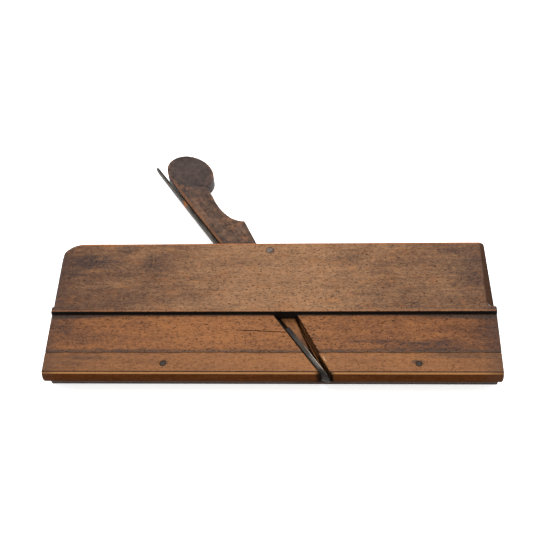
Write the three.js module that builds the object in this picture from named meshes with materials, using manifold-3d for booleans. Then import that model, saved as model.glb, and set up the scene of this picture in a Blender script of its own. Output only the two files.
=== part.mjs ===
// A wooden moulding plane lying on its blind side: a stock with a nailed-on sole strip, a tanged
// iron that goes in through the mouth, and the wedge that locks it. Millimetres.
//
// While it is built, X runs along the stock with the toe at +X, Y runs from the lower edge of
// the open side towards the top of the plane, and Z rises from the blind side that it lies on.
import * as THREE from 'three';
import { mergeVertices } from 'three/addons/utils/BufferGeometryUtils.js';
import Module from 'manifold-3d';

// Stock
const stockLength = 241.3;
const stockHeight = 81.1; // lower edge of the open side to the top
const stockThickness = 24; // above the step
const stepDepth = 3; // the open side is set in by this much below the step
const stepHeight = 35.5;
const heelCornerRadius = 13;
const toeCornerRadius = 2;
const topArrisRadius = 1;
const toeChamfer = { along: 4.4, down: 8 }; // cut back along the stock, and down from the open side
const heelChamfer = { along: 2, down: 4.4 };
const chamferStopHeight = 38.8;
const stopRadius = 2.4;

// Sole: a nose under the open side that runs back into a hollow
const noseRadius = 6.75;
const noseSetback = 4.77; // how far the nose's centre lies in from the side and from the edge
const quirkDepth = 0.4;
const quirkHeight = 0.5;
const flatStart = 40; // the rubbed flat on the nose, as degrees round from the open side
const flatEnd = 58;
const hollowRadius = 14.5;

// Strip of harder wood let into the lower corner of the open side
const stripHeight = 12;
const stripDepth = 9.6;

// Bed, front wall and the openings between them
const bedPitch = 55;
const frontPitch = 65;
const bedFoot = 25.6; // where the bed meets the lower edge of the open side
const mouthLength = 4.8;
const mouthFlare = 1.2; // the open side's front wall leans ahead by this much at the lower edge
const mortiseMiddle = 11.5; // height of the mortise's middle above the blind side
const mortiseWidth = 10.1;
const blindWall = 2.7; // wood left beside the blade on the blind side
const shavingSpaceHeight = 14;

// Iron
const bladeThickness = 2.8;
const bladeLength = 32; // cutting edge to shoulders, along the bed
const shoulderSlope = 4; // length over which the blade narrows to the tang
const liftTravel = 4; // room above the shoulders, so the iron can be set back
const ironLength = 178;
const edgeProjection = 0.2; // the edge stands this far out of the sole
const edgeClearance = 20; // degrees between the bevel and the sole
const tangThickness = 1.4;
const tangRootWidth = 5.4;
const tangTipWidth = 4.4;
const tangTipRounding = 6; // length over which the tip is filed away from the back

// Wedge
const wedgeTipHeight = 5;
const wedgeTipSlope = 9; // the tip is cut back by this much towards the open side
const wedgeShoulderHeight = 103;
const neckAlong = 136; // from the foot of the bed to the narrow of the neck
const neckWidth = 14.3;
const neckScoop = 11.5; // how far the neck's curve is held back from the shoulder
const headAlong = 160; // from the foot of the bed to the middle of the head
const headLength = 31.4;
const headWidth = 23.4;
const headLean = 19.5; // degrees that the head's long axis leans back from the bed
const headStandsOff = 0.8; // the back of the head lies this far in front of the wedge's back
const headBlend = 14; // length over which the back runs out to the head
const headMeetsNeck = 166; // degrees round the head from its far end

// Nails and plug
const nailRadius = 0.8;
const nailHeadRadius = 1.5;
const nailHeadThickness = 0.7;
const nailLength = 14.5;
const heelNailFromHeel = 64.2;
const toeNailFromToe = 43.2;
const nailHeight = 5.4;
const plugRadius = 2.2;
const plugLength = 5;
const plugFromFront = 3.2; // plug centre, ahead of the mortise's front wall
const plugBelowTop = 5.2;

// Fits
const gap = 0.3; // between pieces that touch
const beyond = 10; // how far a cutting shape runs past the wood
const arcSteps = 12;
const roundSides = 20;

const sideZ = stockThickness - stepDepth;
const halfLength = stockLength / 2;
const mouthFront = bedFoot + mouthLength;
const wedgeOffset = bladeThickness + 2 * gap; // from the bed to the back of the wedge
const radians = THREE.MathUtils.degToRad;

const wasm = await Module();
wasm.setup();

// ---- helpers -----------------------------------------------------------------------------

function solidOf(geometry) {
  const bare = geometry.clone();
  bare.deleteAttribute('normal');
  bare.deleteAttribute('uv');
  const merged = mergeVertices(bare, 1e-5);
  return new wasm.Manifold(new wasm.Mesh({
    numProp: 3,
    vertProperties: new Float32Array(merged.attributes.position.array),
    triVerts: new Uint32Array(merged.index.array),
  }));
}

function geometryOf(solid) {
  const mesh = solid.getMesh();
  const geometry = new THREE.BufferGeometry();
  geometry.setAttribute('position', new THREE.BufferAttribute(mesh.vertProperties, 3));
  geometry.setIndex(new THREE.BufferAttribute(mesh.triVerts, 1));
  geometry.computeVertexNormals();
  return geometry;
}

function extruded(shape, depth) {
  return new THREE.ExtrudeGeometry(shape, { depth, bevelEnabled: false, curveSegments: arcSteps });
}

// An outline drawn in side view (X, Y), carried from z0 up to z1
function slab(shape, z0, z1) {
  return solidOf(extruded(shape, z1 - z0).translate(0, 0, z0));
}

// An outline drawn across the stock (Y, Z), carried from x0 to x1
function bar(shape, x0, x1) {
  const across = new THREE.Matrix4().makeBasis(
    new THREE.Vector3(0, 1, 0), new THREE.Vector3(0, 0, 1), new THREE.Vector3(1, 0, 0));
  return solidOf(extruded(shape, x1 - x0).applyMatrix4(across).translate(x0, 0, 0));
}

function block(x0, x1, y0, y1, z0, z1) {
  const geometry = new THREE.BoxGeometry(x1 - x0, y1 - y0, z1 - z0);
  return solidOf(geometry.translate((x0 + x1) / 2, (y0 + y1) / 2, (z0 + z1) / 2));
}

// A round pin standing along Z, from a profile of [radius, z] points
function turned(profile, x, y) {
  const geometry = new THREE.LatheGeometry(profile.map(([r, z]) => new THREE.Vector2(r, z)), roundSides);
  return solidOf(geometry.rotateX(Math.PI / 2).translate(x, y, 0));
}

function polygon(points) {
  return new THREE.Shape(points.map(([x, y]) => new THREE.Vector2(x, y)));
}

// X on a line `ahead` mm in front of the bed, at height y
function bedX(y, ahead = 0) {
  return bedFoot + ahead / Math.sin(radians(bedPitch)) - y / Math.tan(radians(bedPitch));
}

// X on a line `behind` mm behind the front wall, at height y
function frontX(y, behind = 0) {
  return mouthFront - behind / Math.sin(radians(frontPitch)) - y / Math.tan(radians(frontPitch));
}

// X on the front wall of the open side's cut, at height y
function openFrontX(y) {
  return frontX(y) + mouthFlare * (1 - y / stepHeight);
}

// The point `along` mm up the bed from its foot and `ahead` mm in front of it
function bedPoint(along, ahead) {
  const pitch = radians(bedPitch);
  return [bedFoot - along * Math.cos(pitch) + ahead * Math.sin(pitch),
    along * Math.sin(pitch) + ahead * Math.cos(pitch)];
}

// The space between the bed and a front wall, from height y0 to y1
function betweenWalls(wall, y0, y1, z0, z1) {
  return slab(polygon([[bedX(y0), y0], [wall(y0), y0], [wall(y1), y1], [bedX(y1), y1]]), z0, z1);
}

// ---- stock and sole strip ----------------------------------------------------------------

// A point on the nose, by the angle round from the open side
function nosePoint(degrees) {
  const angle = radians(degrees);
  return [noseSetback - noseRadius * Math.sin(angle), sideZ - noseSetback + noseRadius * Math.cos(angle)];
}

// The section across the stock and its strip together, as (Y, Z)
function wholeSection() {
  const noseY = noseSetback;
  const noseZ = sideZ - noseSetback;
  const [hollowStartY, hollowStartZ] = nosePoint(135);
  const hollowY = hollowStartY - hollowRadius * Math.SQRT1_2;
  const hollowZ = hollowStartZ - hollowRadius * Math.SQRT1_2;
  const hollowEnd = Math.asin(-hollowZ / hollowRadius);
  const shape = new THREE.Shape();
  shape.moveTo(stockHeight, 0);
  shape.lineTo(stockHeight, stockThickness - topArrisRadius);
  shape.absarc(stockHeight - topArrisRadius, stockThickness - topArrisRadius, topArrisRadius, 0, Math.PI / 2);
  shape.lineTo(stepHeight, stockThickness);
  shape.lineTo(stepHeight, sideZ);
  shape.lineTo(quirkHeight, sideZ);
  shape.lineTo(quirkHeight, sideZ - quirkDepth);
  shape.lineTo(...nosePoint(flatStart));
  shape.lineTo(...nosePoint(flatEnd));
  shape.absarc(noseY, noseZ, noseRadius, radians(90 + flatEnd), radians(90 + 135));
  shape.absarc(hollowY, hollowZ, hollowRadius, Math.PI / 4, hollowEnd, true);
  return shape;
}

function sideOutline() {
  const shape = new THREE.Shape();
  const low = -beyond;
  shape.moveTo(-halfLength, low);
  shape.lineTo(halfLength, low);
  shape.lineTo(halfLength, stockHeight - toeCornerRadius);
  shape.absarc(halfLength - toeCornerRadius, stockHeight - toeCornerRadius, toeCornerRadius, 0, Math.PI / 2);
  shape.lineTo(heelCornerRadius - halfLength, stockHeight);
  shape.absarc(heelCornerRadius - halfLength, stockHeight - heelCornerRadius, heelCornerRadius,
    Math.PI / 2, Math.PI);
  return shape;
}

// Cuts the chamfer down one end's upright arris, with a scooped stop; end is +1 toe or -1 heel
function endChamferCutter(end) {
  const { along, down } = end > 0 ? toeChamfer : heelChamfer;
  const depth = along * down / Math.hypot(along, down);
  const high = stockHeight + beyond;
  const shape = new THREE.Shape();
  shape.moveTo(chamferStopHeight + stopRadius, 0);
  shape.lineTo(high, 0);
  shape.lineTo(high, beyond);
  shape.lineTo(chamferStopHeight, beyond);
  shape.lineTo(chamferStopHeight, stopRadius);
  shape.absarc(chamferStopHeight + stopRadius, stopRadius, stopRadius, Math.PI, 1.5 * Math.PI);
  const upwards = new THREE.Vector3(0, 1, 0);
  const outwards = new THREE.Vector3(end * down, 0, along).normalize();
  const turn = new THREE.Matrix4().makeBasis(upwards, outwards, upwards.clone().cross(outwards));
  const width = 4 * beyond;
  const arris = new THREE.Vector3(end * halfLength, 0, stockThickness).addScaledVector(outwards, -depth);
  const geometry = extruded(shape, width).translate(0, 0, -width / 2).applyMatrix4(turn);
  return solidOf(geometry.translate(arris.x, 0, arris.z));
}

function nailX(end) {
  return end > 0 ? halfLength - toeNailFromToe : heelNailFromHeel - halfLength;
}

function nailHole(end) {
  const bottom = sideZ - nailLength - gap;
  const headSeat = sideZ - nailHeadThickness - gap;
  const profile = [[0, bottom], [nailRadius + gap, bottom], [nailRadius + gap, headSeat],
    [nailHeadRadius + gap, headSeat], [nailHeadRadius + gap, sideZ + beyond], [0, sideZ + beyond]];
  return turned(profile, nailX(end), nailHeight);
}

function plugPlace() {
  const y = stockHeight - plugBelowTop;
  return [frontX(y) + plugFromFront, y];
}

function makeStock(blank) {
  const mortiseLow = mortiseMiddle - mortiseWidth / 2;
  const mortiseHigh = mortiseMiddle + mortiseWidth / 2;
  const slotTop = bladeLength + shoulderSlope + liftTravel + gap;
  const slotLow = -2 * beyond;
  const plugSeat = stockThickness - plugLength - gap;
  const plugHole = [[0, plugSeat], [plugRadius + gap, plugSeat], [plugRadius + gap, stockThickness + beyond],
    [0, stockThickness + beyond]];
  return blank
    .subtract(block(-halfLength - beyond, halfLength + beyond, -beyond, stripHeight + gap,
      sideZ - stripDepth - gap, stockThickness + beyond))
    .subtract(betweenWalls(frontX, -beyond, stockHeight + beyond, mortiseLow, mortiseHigh))
    .subtract(betweenWalls(openFrontX, -beyond, stepHeight, mortiseMiddle, stockThickness + beyond))
    .subtract(betweenWalls(frontX, -beyond, shavingSpaceHeight, blindWall, mortiseMiddle))
    .subtract(slab(polygon([bedPoint(slotLow, 0), bedPoint(slotLow, wedgeOffset),
      bedPoint(slotTop, wedgeOffset), bedPoint(slotTop, 0)]), blindWall, mortiseMiddle))
    .subtract(nailHole(1))
    .subtract(nailHole(-1))
    .subtract(turned(plugHole, ...plugPlace()))
    .subtract(endChamferCutter(1))
    .subtract(endChamferCutter(-1));
}

// The strip's length on one side of the mouth; end is +1 toe or -1 heel
function makeStrip(blank, end) {
  const low = -beyond;
  const wall = end > 0 ? openFrontX : bedX;
  const far = end * (halfLength + beyond);
  const shape = polygon([[wall(low), low], [wall(stripHeight), stripHeight], [far, stripHeight], [far, low]]);
  const reach = slab(shape, sideZ - stripDepth, stockThickness + beyond);
  return blank.intersect(reach).subtract(nailHole(end));
}

function makeNail(end) {
  const bottom = sideZ - nailLength;
  const profile = [[0, bottom], [nailRadius * 0.5, bottom], [nailRadius, bottom + 3],
    [nailRadius, sideZ - nailHeadThickness], [nailHeadRadius, sideZ - nailHeadThickness],
    [nailHeadRadius, sideZ - nailHeadThickness * 0.3], [nailHeadRadius * 0.6, sideZ], [0, sideZ]];
  return turned(profile, nailX(end), nailHeight);
}

function makePlug() {
  const bottom = stockThickness - plugLength;
  const profile = [[0, bottom], [plugRadius, bottom], [plugRadius, stockThickness], [0, stockThickness]];
  return turned(profile, ...plugPlace());
}

// ---- iron --------------------------------------------------------------------------------

// Turns something drawn along the bed, (length, thickness) as (x, y), into side view
function onBed(geometry) {
  const alongBed = new THREE.Vector3(-Math.cos(radians(bedPitch)), Math.sin(radians(bedPitch)), 0);
  const offBed = new THREE.Vector3(Math.sin(radians(bedPitch)), Math.cos(radians(bedPitch)), 0);
  const turn = new THREE.Matrix4().makeBasis(alongBed, offBed, alongBed.clone().cross(offBed));
  return geometry.applyMatrix4(turn).translate(bedFoot, 0, 0);
}

// The iron seen on its flat, (length, Z): blade, sloping shoulders and tapering tang
function ironFace() {
  const low = blindWall + gap;
  const high = sideZ - gap;
  const shoulder = bladeLength;
  const root = shoulder + shoulderSlope;
  const tip = ironLength - tangTipWidth / 2;
  const shape = new THREE.Shape();
  shape.moveTo(-beyond, low);
  shape.lineTo(shoulder, low);
  shape.quadraticCurveTo(root - 1, mortiseMiddle - tangRootWidth / 2,
    root + shoulderSlope, mortiseMiddle - tangRootWidth / 2);
  shape.lineTo(tip, mortiseMiddle - tangTipWidth / 2);
  shape.absarc(tip, mortiseMiddle, tangTipWidth / 2, -Math.PI / 2, Math.PI / 2);
  shape.lineTo(root + shoulderSlope, mortiseMiddle + tangRootWidth / 2);
  shape.quadraticCurveTo(root - 1, mortiseMiddle + tangRootWidth / 2, shoulder, high);
  shape.lineTo(-beyond, high);
  return shape;
}

// The iron seen on its edge, (length, thickness): the tang is drawn thin against the wedge
function ironEdge() {
  const front = gap + bladeThickness;
  const tangBack = front - tangThickness;
  const thinFrom = bladeLength + 2 * shoulderSlope;
  const thinBy = thinFrom + 10 * shoulderSlope;
  const filedFrom = ironLength - tangTipRounding;
  const shape = new THREE.Shape();
  shape.moveTo(-beyond, gap);
  shape.lineTo(thinFrom, gap);
  shape.lineTo(thinBy, tangBack);
  shape.lineTo(filedFrom, tangBack);
  shape.quadraticCurveTo(ironLength - 1, tangBack, ironLength, front - tangThickness / 4);
  shape.lineTo(ironLength, front);
  shape.lineTo(-beyond, front);
  return shape;
}

// Everything above the sole's outline, leaning back from the edge at the bevel's clearance angle
function aboveEdge() {
  const slope = Math.tan(radians(edgeClearance));
  const edgeX = bedX(0, gap + bladeThickness);
  const lean = new THREE.Matrix4().set(
    1, 0, 0, 0,
    -slope, 1, 0, slope * edgeX - edgeProjection,
    0, 0, 1, 0,
    0, 0, 0, 1);
  const across = new THREE.Matrix4().makeBasis(
    new THREE.Vector3(0, 1, 0), new THREE.Vector3(0, 0, 1), new THREE.Vector3(1, 0, 0));
  const reach = 6 * beyond;
  return extruded(wholeSection(), reach).applyMatrix4(across).translate(edgeX - reach / 2, 0, 0)
    .applyMatrix4(lean);
}

function makeIron() {
  const faceThickness = 3 * beyond;
  const standing = new THREE.Matrix4().makeBasis(
    new THREE.Vector3(1, 0, 0), new THREE.Vector3(0, 0, -1), new THREE.Vector3(0, 1, 0));
  const face = onBed(extruded(ironFace(), faceThickness).applyMatrix4(standing)
    .translate(0, -faceThickness / 2, 0));
  const edge = onBed(extruded(ironEdge(), 2 * stockThickness)
    .translate(0, 0, -2 * stockThickness));
  const aboveMouth = block(-stockLength, stockLength, stepHeight / 2, stockLength, -beyond,
    stockThickness + beyond);
  return solidOf(face).intersect(solidOf(edge)).intersect(aboveMouth.add(solidOf(aboveEdge())));
}

// ---- wedge -------------------------------------------------------------------------------

// Tapered body between the bed and the front wall, scooped neck and an oval head that leans back
// almost to the line of the wedge's back
function wedgeOutline() {
  const lean = radians(headLean);
  const halfHead = headLength / 2;
  const halfWidth = headWidth / 2;
  const reachBack = Math.hypot(halfHead * Math.sin(lean), halfWidth * Math.cos(lean));
  const nearestBack = Math.atan2(halfWidth * Math.cos(lean), halfHead * Math.sin(lean));
  const [headX, headY] = bedPoint(headAlong, wedgeOffset + headStandsOff + reachBack);
  const [neckX, neckY] = bedPoint(neckAlong, wedgeOffset + neckWidth);
  const shoulderX = frontX(wedgeShoulderHeight, gap);
  const longAxis = Math.PI - radians(bedPitch) + lean;
  const shape = new THREE.Shape();
  shape.moveTo(bedX(wedgeTipHeight, wedgeOffset), wedgeTipHeight);
  shape.lineTo(frontX(wedgeTipHeight, gap), wedgeTipHeight);
  shape.lineTo(shoulderX, wedgeShoulderHeight);
  shape.quadraticCurveTo(shoulderX - neckScoop, wedgeShoulderHeight, neckX, neckY);
  shape.absellipse(headX, headY, halfHead, halfWidth, radians(headMeetsNeck), 2 * Math.PI + nearestBack,
    false, longAxis);
  shape.lineTo(...bedPoint(headAlong - headBlend, wedgeOffset));
  return shape;
}

function makeWedge() {
  const low = mortiseMiddle - mortiseWidth / 2 + gap;
  const high = mortiseMiddle + mortiseWidth / 2 - gap;
  const turnedOut = polygon([[-beyond, low - 1], [wedgeTipHeight, low - 1],
    [wedgeTipHeight + wedgeTipSlope, high + 1], [-beyond, high + 1]]);
  return slab(wedgeOutline(), low, high).subtract(bar(turnedOut, 0, stockLength));
}

// ---- the assembly ------------------------------------------------------------------------

function finish(color, roughness, metalness) {
  return new THREE.MeshStandardMaterial({ color, roughness, metalness });
}

const stockWood = finish(0x6b4026, 0.6, 0);
const stripWood = finish(0x8a5a32, 0.55, 0);
const wedgeWood = finish(0x4a2c20, 0.6, 0);
const steel = finish(0x55504a, 0.45, 0.9);
const nailIron = finish(0x2e2926, 0.7, 0.8);

const plane = new THREE.Group();

function addPiece(name, solid, material) {
  const mesh = new THREE.Mesh(geometryOf(solid), material);
  mesh.name = name;
  plane.add(mesh);
}

const blank = bar(wholeSection(), -halfLength, halfLength)
  .intersect(slab(sideOutline(), -beyond, stockThickness + beyond));

addPiece('stock', makeStock(blank), stockWood);
addPiece('sole_strip_heel', makeStrip(blank, -1), stripWood);
addPiece('sole_strip_toe', makeStrip(blank, 1), stripWood);
addPiece('strip_nail_heel', makeNail(-1), nailIron);
addPiece('strip_nail_toe', makeNail(1), nailIron);
addPiece('cheek_plug', makePlug(), stripWood);
addPiece('iron', makeIron(), steel);
addPiece('wedge', makeWedge(), wedgeWood);

// The origin is the middle of the assembly's footprint, on the bench
const footprint = new THREE.Box3().setFromObject(plane).getCenter(new THREE.Vector3());
plane.position.set(-footprint.x, -footprint.y, 0);
plane.updateMatrixWorld(true);

export default plane;
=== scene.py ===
"""A worn wooden moulding plane that lies on its blind side, on a pale floor in soft light.

Sizes are in millimetres and places are given on the plane itself: x runs along the stock with the
toe at +x, y runs up from the lower edge of the open side, z rises from the blind side. Meshes are
turned into metres in the row frame when they are made.
"""
import bpy
import numpy as np
from mathutils import Matrix, Vector


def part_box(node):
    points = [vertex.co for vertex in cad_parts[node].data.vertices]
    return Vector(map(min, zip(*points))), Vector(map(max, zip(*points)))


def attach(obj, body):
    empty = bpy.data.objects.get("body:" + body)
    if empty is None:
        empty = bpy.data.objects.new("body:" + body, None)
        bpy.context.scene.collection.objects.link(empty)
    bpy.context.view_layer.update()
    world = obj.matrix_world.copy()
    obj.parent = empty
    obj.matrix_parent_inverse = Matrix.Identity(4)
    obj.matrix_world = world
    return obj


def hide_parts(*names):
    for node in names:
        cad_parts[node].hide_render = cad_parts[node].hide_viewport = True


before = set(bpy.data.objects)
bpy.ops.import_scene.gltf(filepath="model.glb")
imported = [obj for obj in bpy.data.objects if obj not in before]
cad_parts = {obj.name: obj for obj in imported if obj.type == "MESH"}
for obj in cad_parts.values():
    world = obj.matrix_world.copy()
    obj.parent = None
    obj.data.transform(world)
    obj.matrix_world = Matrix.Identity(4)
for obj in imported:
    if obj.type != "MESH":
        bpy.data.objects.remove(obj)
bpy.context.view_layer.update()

# Stock
HEIGHT = 81.1
THICKNESS = 24.0
HALF_LENGTH = 120.65
STEP_DEPTH = 3.0
STEP_HEIGHT = 35.5
SIDE_Z = THICKNESS - STEP_DEPTH
HEEL_CORNER = 13.0
TOE_CORNER = 2.0
TOE_CHAMFER = (5.6, 8.0)       # cut back along the stock, and down from the open side
HEEL_CHAMFER = (2.0, 4.4)
CHAMFER_STOP = 38.8
BEND_FROM = 58.0               # below this height the stock's section is the same all along
FACE_FROM = 8.0                # height from the blind side where the open side's wear begins
END_ROUND = 0.75               # radius of the stock's and the strips' end arrises
NIB_REACH = 1.8                # length over which the step's wall is rounded off at the ends
NIB_DROP = 1.1
TOE_WEAR = 2.9                 # how much the toe's end is worn back at the top
# Sole
NOSE_RADIUS = 6.75
NOSE_SETBACK = 4.77
NOSE_END = 135                 # degrees round the nose where the hollow takes over
QUIRK_DEPTH = 0.4
QUIRK_HEIGHT = 0.5
FLAT_START, FLAT_END = 40.0, 58.0
HOLLOW_RADIUS = 14.5
STRIP_HEIGHT, STRIP_DEPTH = 12.0, 9.6
JOINT_GAP = 0.12
# Bed, front wall and mouth
BED_PITCH, FRONT_PITCH = np.radians(55.0), np.radians(65.0)
BED_FOOT = 25.6
MOUTH = 4.8
MOUTH_FLARE = 1.2
MORTISE_LOW, MORTISE_HIGH = 6.45, 16.55
MORTISE_MIDDLE = 11.5
BLIND_WALL = 2.7
SHAVING_SPACE = 14.0
# Iron
BLADE_THICKNESS = 2.8
BLADE_LENGTH = 32.0
SHOULDER_END = 39.5
SLOT_TOP = 40.3
IRON_LENGTH = 178.0
TANG_THICKNESS = 1.4
TANG_ROOT, TANG_TIP = 5.4, 4.4
EDGE_CLEARANCE = np.radians(20.0)
# Wedge
GAP = 0.3
WEDGE_BACK = BLADE_THICKNESS + 2 * GAP
WEDGE_LOW, WEDGE_HIGH = MORTISE_LOW + GAP, MORTISE_HIGH - GAP
SHOULDER_HEIGHT = 103.0
NECK = (136.0, 14.3)            # along the bed, and in front of the wedge's back
NECK_SCOOP = 11.5
HEAD_ALONG = 160.0
HEAD_HALF = (15.67, 11.67)
HEAD_LEAN = np.radians(19.5)
HEAD_STANDS_OFF = 0.8
HEAD_MEETS_NECK = np.radians(166.0)
# Nails and plug
NAILS = {"heel": (-56.45, 5.4), "toe": (77.45, 5.4)}
NAIL_HEAD = 1.5
PLUG_BELOW_TOP = 5.2
PLUG_AHEAD = 3.2
PLUG_RADIUS = 2.2

# y of the plane's own measure, against y of the row frame
Y_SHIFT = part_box("stock")[1].y * 1000 - HEIGHT


# ---- lines of the plane -----------------------------------------------------------------------

def bed_x(y, ahead=0.0):
    """x on a straight line `ahead` in front of the bed, which leans back at the bed's pitch."""
    return BED_FOOT + ahead / np.sin(BED_PITCH) - y / np.tan(BED_PITCH)


def front_x(y, behind=0.0):
    """x on a line `behind` the front wall: a straight line at the front wall's pitch."""
    return BED_FOOT + MOUTH - behind / np.sin(FRONT_PITCH) - y / np.tan(FRONT_PITCH)


def open_front_x(y):
    """x on the open side's front wall: the front wall, leaning ahead towards the lower edge."""
    return front_x(y) + MOUTH_FLARE * (1 - y / STEP_HEIGHT)


def off_bed(along, ahead):
    """(x, y) of a point `along` up the bed and `ahead` in front of it."""
    return (BED_FOOT - along * np.cos(BED_PITCH) + ahead * np.sin(BED_PITCH),
            along * np.sin(BED_PITCH) + ahead * np.cos(BED_PITCH))


def nose(degrees):
    """(y, z) on the nose by angle from the side: a circle, its centre set in from side and edge."""
    a = np.radians(degrees)
    return (NOSE_SETBACK - NOSE_RADIUS * np.sin(a), SIDE_Z - NOSE_SETBACK + NOSE_RADIUS * np.cos(a))


def waves(a, b, length, seed, count=9):
    """A smooth uneven field between -1 and 1: the mean of sine waves of about one length that run
    in all directions, each with its own phase."""
    rng = np.random.RandomState(seed)
    total = 0
    for _ in range(count):
        turn, phase, scale = rng.rand(3) * (2 * np.pi, 2 * np.pi, 0.9)
        k = 2 * np.pi / (length * (0.6 + scale))
        total = total + np.sin(k * (a * np.cos(turn) + b * np.sin(turn)) + phase)
    return total / count ** 0.5 / 2


def rounded(corners, spacing=0.6, arc=7):
    """A closed outline through corners (a, b, radius): straight runs with points at one spacing,
    and at each corner a curve that is tangent to both runs."""
    pts = [np.array(c[:2], float) for c in corners]
    out = []
    for i, corner in enumerate(corners):
        before, here, after = pts[i - 1], pts[i], pts[(i + 1) % len(pts)]
        back, on = before - here, after - here
        radius = corner[2]
        if radius > 0:
            start = here + back / np.linalg.norm(back) * radius
            end = here + on / np.linalg.norm(on) * radius
            t = np.linspace(0, 1, arc)[:, None]
            curve = (1 - t) ** 2 * start + 2 * t * (1 - t) * here + t ** 2 * end
        else:
            curve = here[None, :]
        out.append(curve)
        next_radius = corners[(i + 1) % len(pts)][2]
        leave = curve[-1]
        arrive = after - on / np.linalg.norm(on) * next_radius
        steps = int(np.linalg.norm(arrive - leave) / spacing)
        if steps > 1:
            out.append(leave + (arrive - leave) * (np.arange(1, steps) / steps)[:, None])
    return np.concatenate(out)


# ---- meshes -----------------------------------------------------------------------------------

def smooth_by_angle(mesh, degrees):
    """Smooth shading with edges kept sharp where faces meet at more than an angle."""
    mesh.polygons.foreach_set("use_smooth", np.ones(len(mesh.polygons), bool))
    mesh.set_sharp_from_angle(angle=np.radians(degrees))


def tube(name, rows, sharp=40, flat_ends=False):
    """A closed piece from rows of points (stations, ring, 3) in mm: each ring is joined to the
    next by four-sided faces. A middle point closes each end, or one many-sided face where the
    section is hollow and its ends are flat. Faces are turned outward by the sign of the volume."""
    n, m = rows.shape[:2]
    points = rows.reshape(-1, 3)
    i, j = np.meshgrid(np.arange(n - 1), np.arange(m), indexing="ij")
    k = (j + 1) % m
    quads = np.stack([i * m + j, i * m + k, (i + 1) * m + k, (i + 1) * m + j], -1).reshape(-1, 4)
    a = np.arange(m)
    b = (a + 1) % m
    if flat_ends:
        caps = np.stack([a[::-1], (n - 1) * m + a])
    else:
        points = np.concatenate([points, rows[:1].mean(1), rows[-1:].mean(1)])
        last = (n - 1) * m
        caps = np.concatenate([np.stack([b, a, np.full(m, n * m)], 1),
                               np.stack([last + a, last + b, np.full(m, n * m + 1)], 1)])
    hubs = np.broadcast_to(caps[:, :1], caps[:, 2:].shape)
    fans = np.stack([hubs, caps[:, 1:-1], caps[:, 2:]], -1)
    tris = np.concatenate([quads[:, :3], quads[:, [0, 2, 3]], fans.reshape(-1, 3)])
    p, q, r = (points[tris[:, i]] for i in range(3))
    volume = np.einsum("ij,ij->i", p, np.cross(q, r)).sum()
    if volume < 0:
        quads, caps = quads[:, ::-1], caps[:, ::-1]
    points = (points + (0, Y_SHIFT, 0)) / 1000
    mesh = bpy.data.meshes.new(name)
    mesh.vertices.add(len(points))
    mesh.vertices.foreach_set("co", points.ravel())
    mesh.loops.add(quads.size + caps.size)
    mesh.loops.foreach_set("vertex_index", np.concatenate([quads.ravel(), caps.ravel()]))
    mesh.polygons.add(len(quads) + len(caps))
    cap_starts = quads.size + np.arange(len(caps)) * caps.shape[1]
    starts = np.concatenate([np.arange(len(quads)) * 4, cap_starts])
    mesh.polygons.foreach_set("loop_start", starts)
    mesh.update(calc_edges=True)
    mesh.validate()
    smooth_by_angle(mesh, sharp)
    piece = bpy.data.objects.new(name, mesh)
    bpy.context.scene.collection.objects.link(piece)
    return piece


def carve(piece, cutters, sharp=40):
    """Takes each cutter's volume out of a piece, then drops the cutters."""
    for cutter in cutters:
        step = piece.modifiers.new("cut", "BOOLEAN")
        step.operation = "DIFFERENCE"
        step.solver = "MANIFOLD"
        step.object = cutter
    bpy.context.view_layer.update()
    view = bpy.context.evaluated_depsgraph_get()
    result = bpy.data.meshes.new_from_object(piece.evaluated_get(view), depsgraph=view)
    piece.modifiers.clear()
    old = piece.data
    piece.data = result
    result.name = piece.name
    bpy.data.meshes.remove(old)
    for cutter in cutters:
        mesh = cutter.data
        bpy.data.objects.remove(cutter)
        bpy.data.meshes.remove(mesh)
    smooth_by_angle(piece.data, sharp)


def stations(start, end, fine, spacing=1.0, reach=14.0):
    """Places along a length: close together at both ends, opening out to an even spacing."""
    near = fine * np.array([0, 0.3, 0.8, 1.5, 2.4, 3.6])
    inner = np.arange(near[-1] + 0.4, reach, 0.5)
    ends = np.concatenate([near, inner])
    middle = np.linspace(start + reach, end - reach, int((end - start - 2 * reach) / spacing) + 1)
    return np.concatenate([start + ends, middle, end - ends[::-1]])


def drawn_in(ring, distance, soft):
    """(y, z) of a section on its way to an end: it shrinks about the middle of its own box by a
    quarter circle's arc of the distance to the end, which rounds the end arrises."""
    draw = soft - np.sqrt(np.clip(soft ** 2 - np.clip(soft - distance, 0, soft) ** 2, 0, None))
    middle, half = (ring.max(0) + ring.min(0)) / 2, (ring.max(0) - ring.min(0)) / 2
    return [middle[i] + (ring[None, :, i] - middle[i]) * (1 - draw / half[i]) for i in (0, 1)]


def bordered(rows, border=0.35):
    """Adds a ring just inside each end's outline, so that the end face has a flat border."""
    ends = []
    for row in (rows[0], rows[-1]):
        middle = (row.max(0) + row.min(0)) / 2
        half = (row.max(0) - row.min(0)) / 2 + 1e-9
        share = 1 - border / half
        share[0] = 1
        ends.append(middle + (row - middle) * share)
    return np.concatenate([ends[0][None], rows, ends[1][None]])


# ---- stock ------------------------------------------------------------------------------------

def hollow_points():
    """(y, z) down the sole's hollow: a circle that takes over where the nose runs level."""
    y, z = nose(NOSE_END)
    middle = (y - HOLLOW_RADIUS / 2 ** 0.5, z - HOLLOW_RADIUS / 2 ** 0.5)
    angle = np.linspace(np.pi / 4, np.arcsin(-middle[1] / HOLLOW_RADIUS), 26)
    return [(middle[0] + HOLLOW_RADIUS * np.cos(a), middle[1] + HOLLOW_RADIUS * np.sin(a), 0)
            for a in angle]


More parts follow.
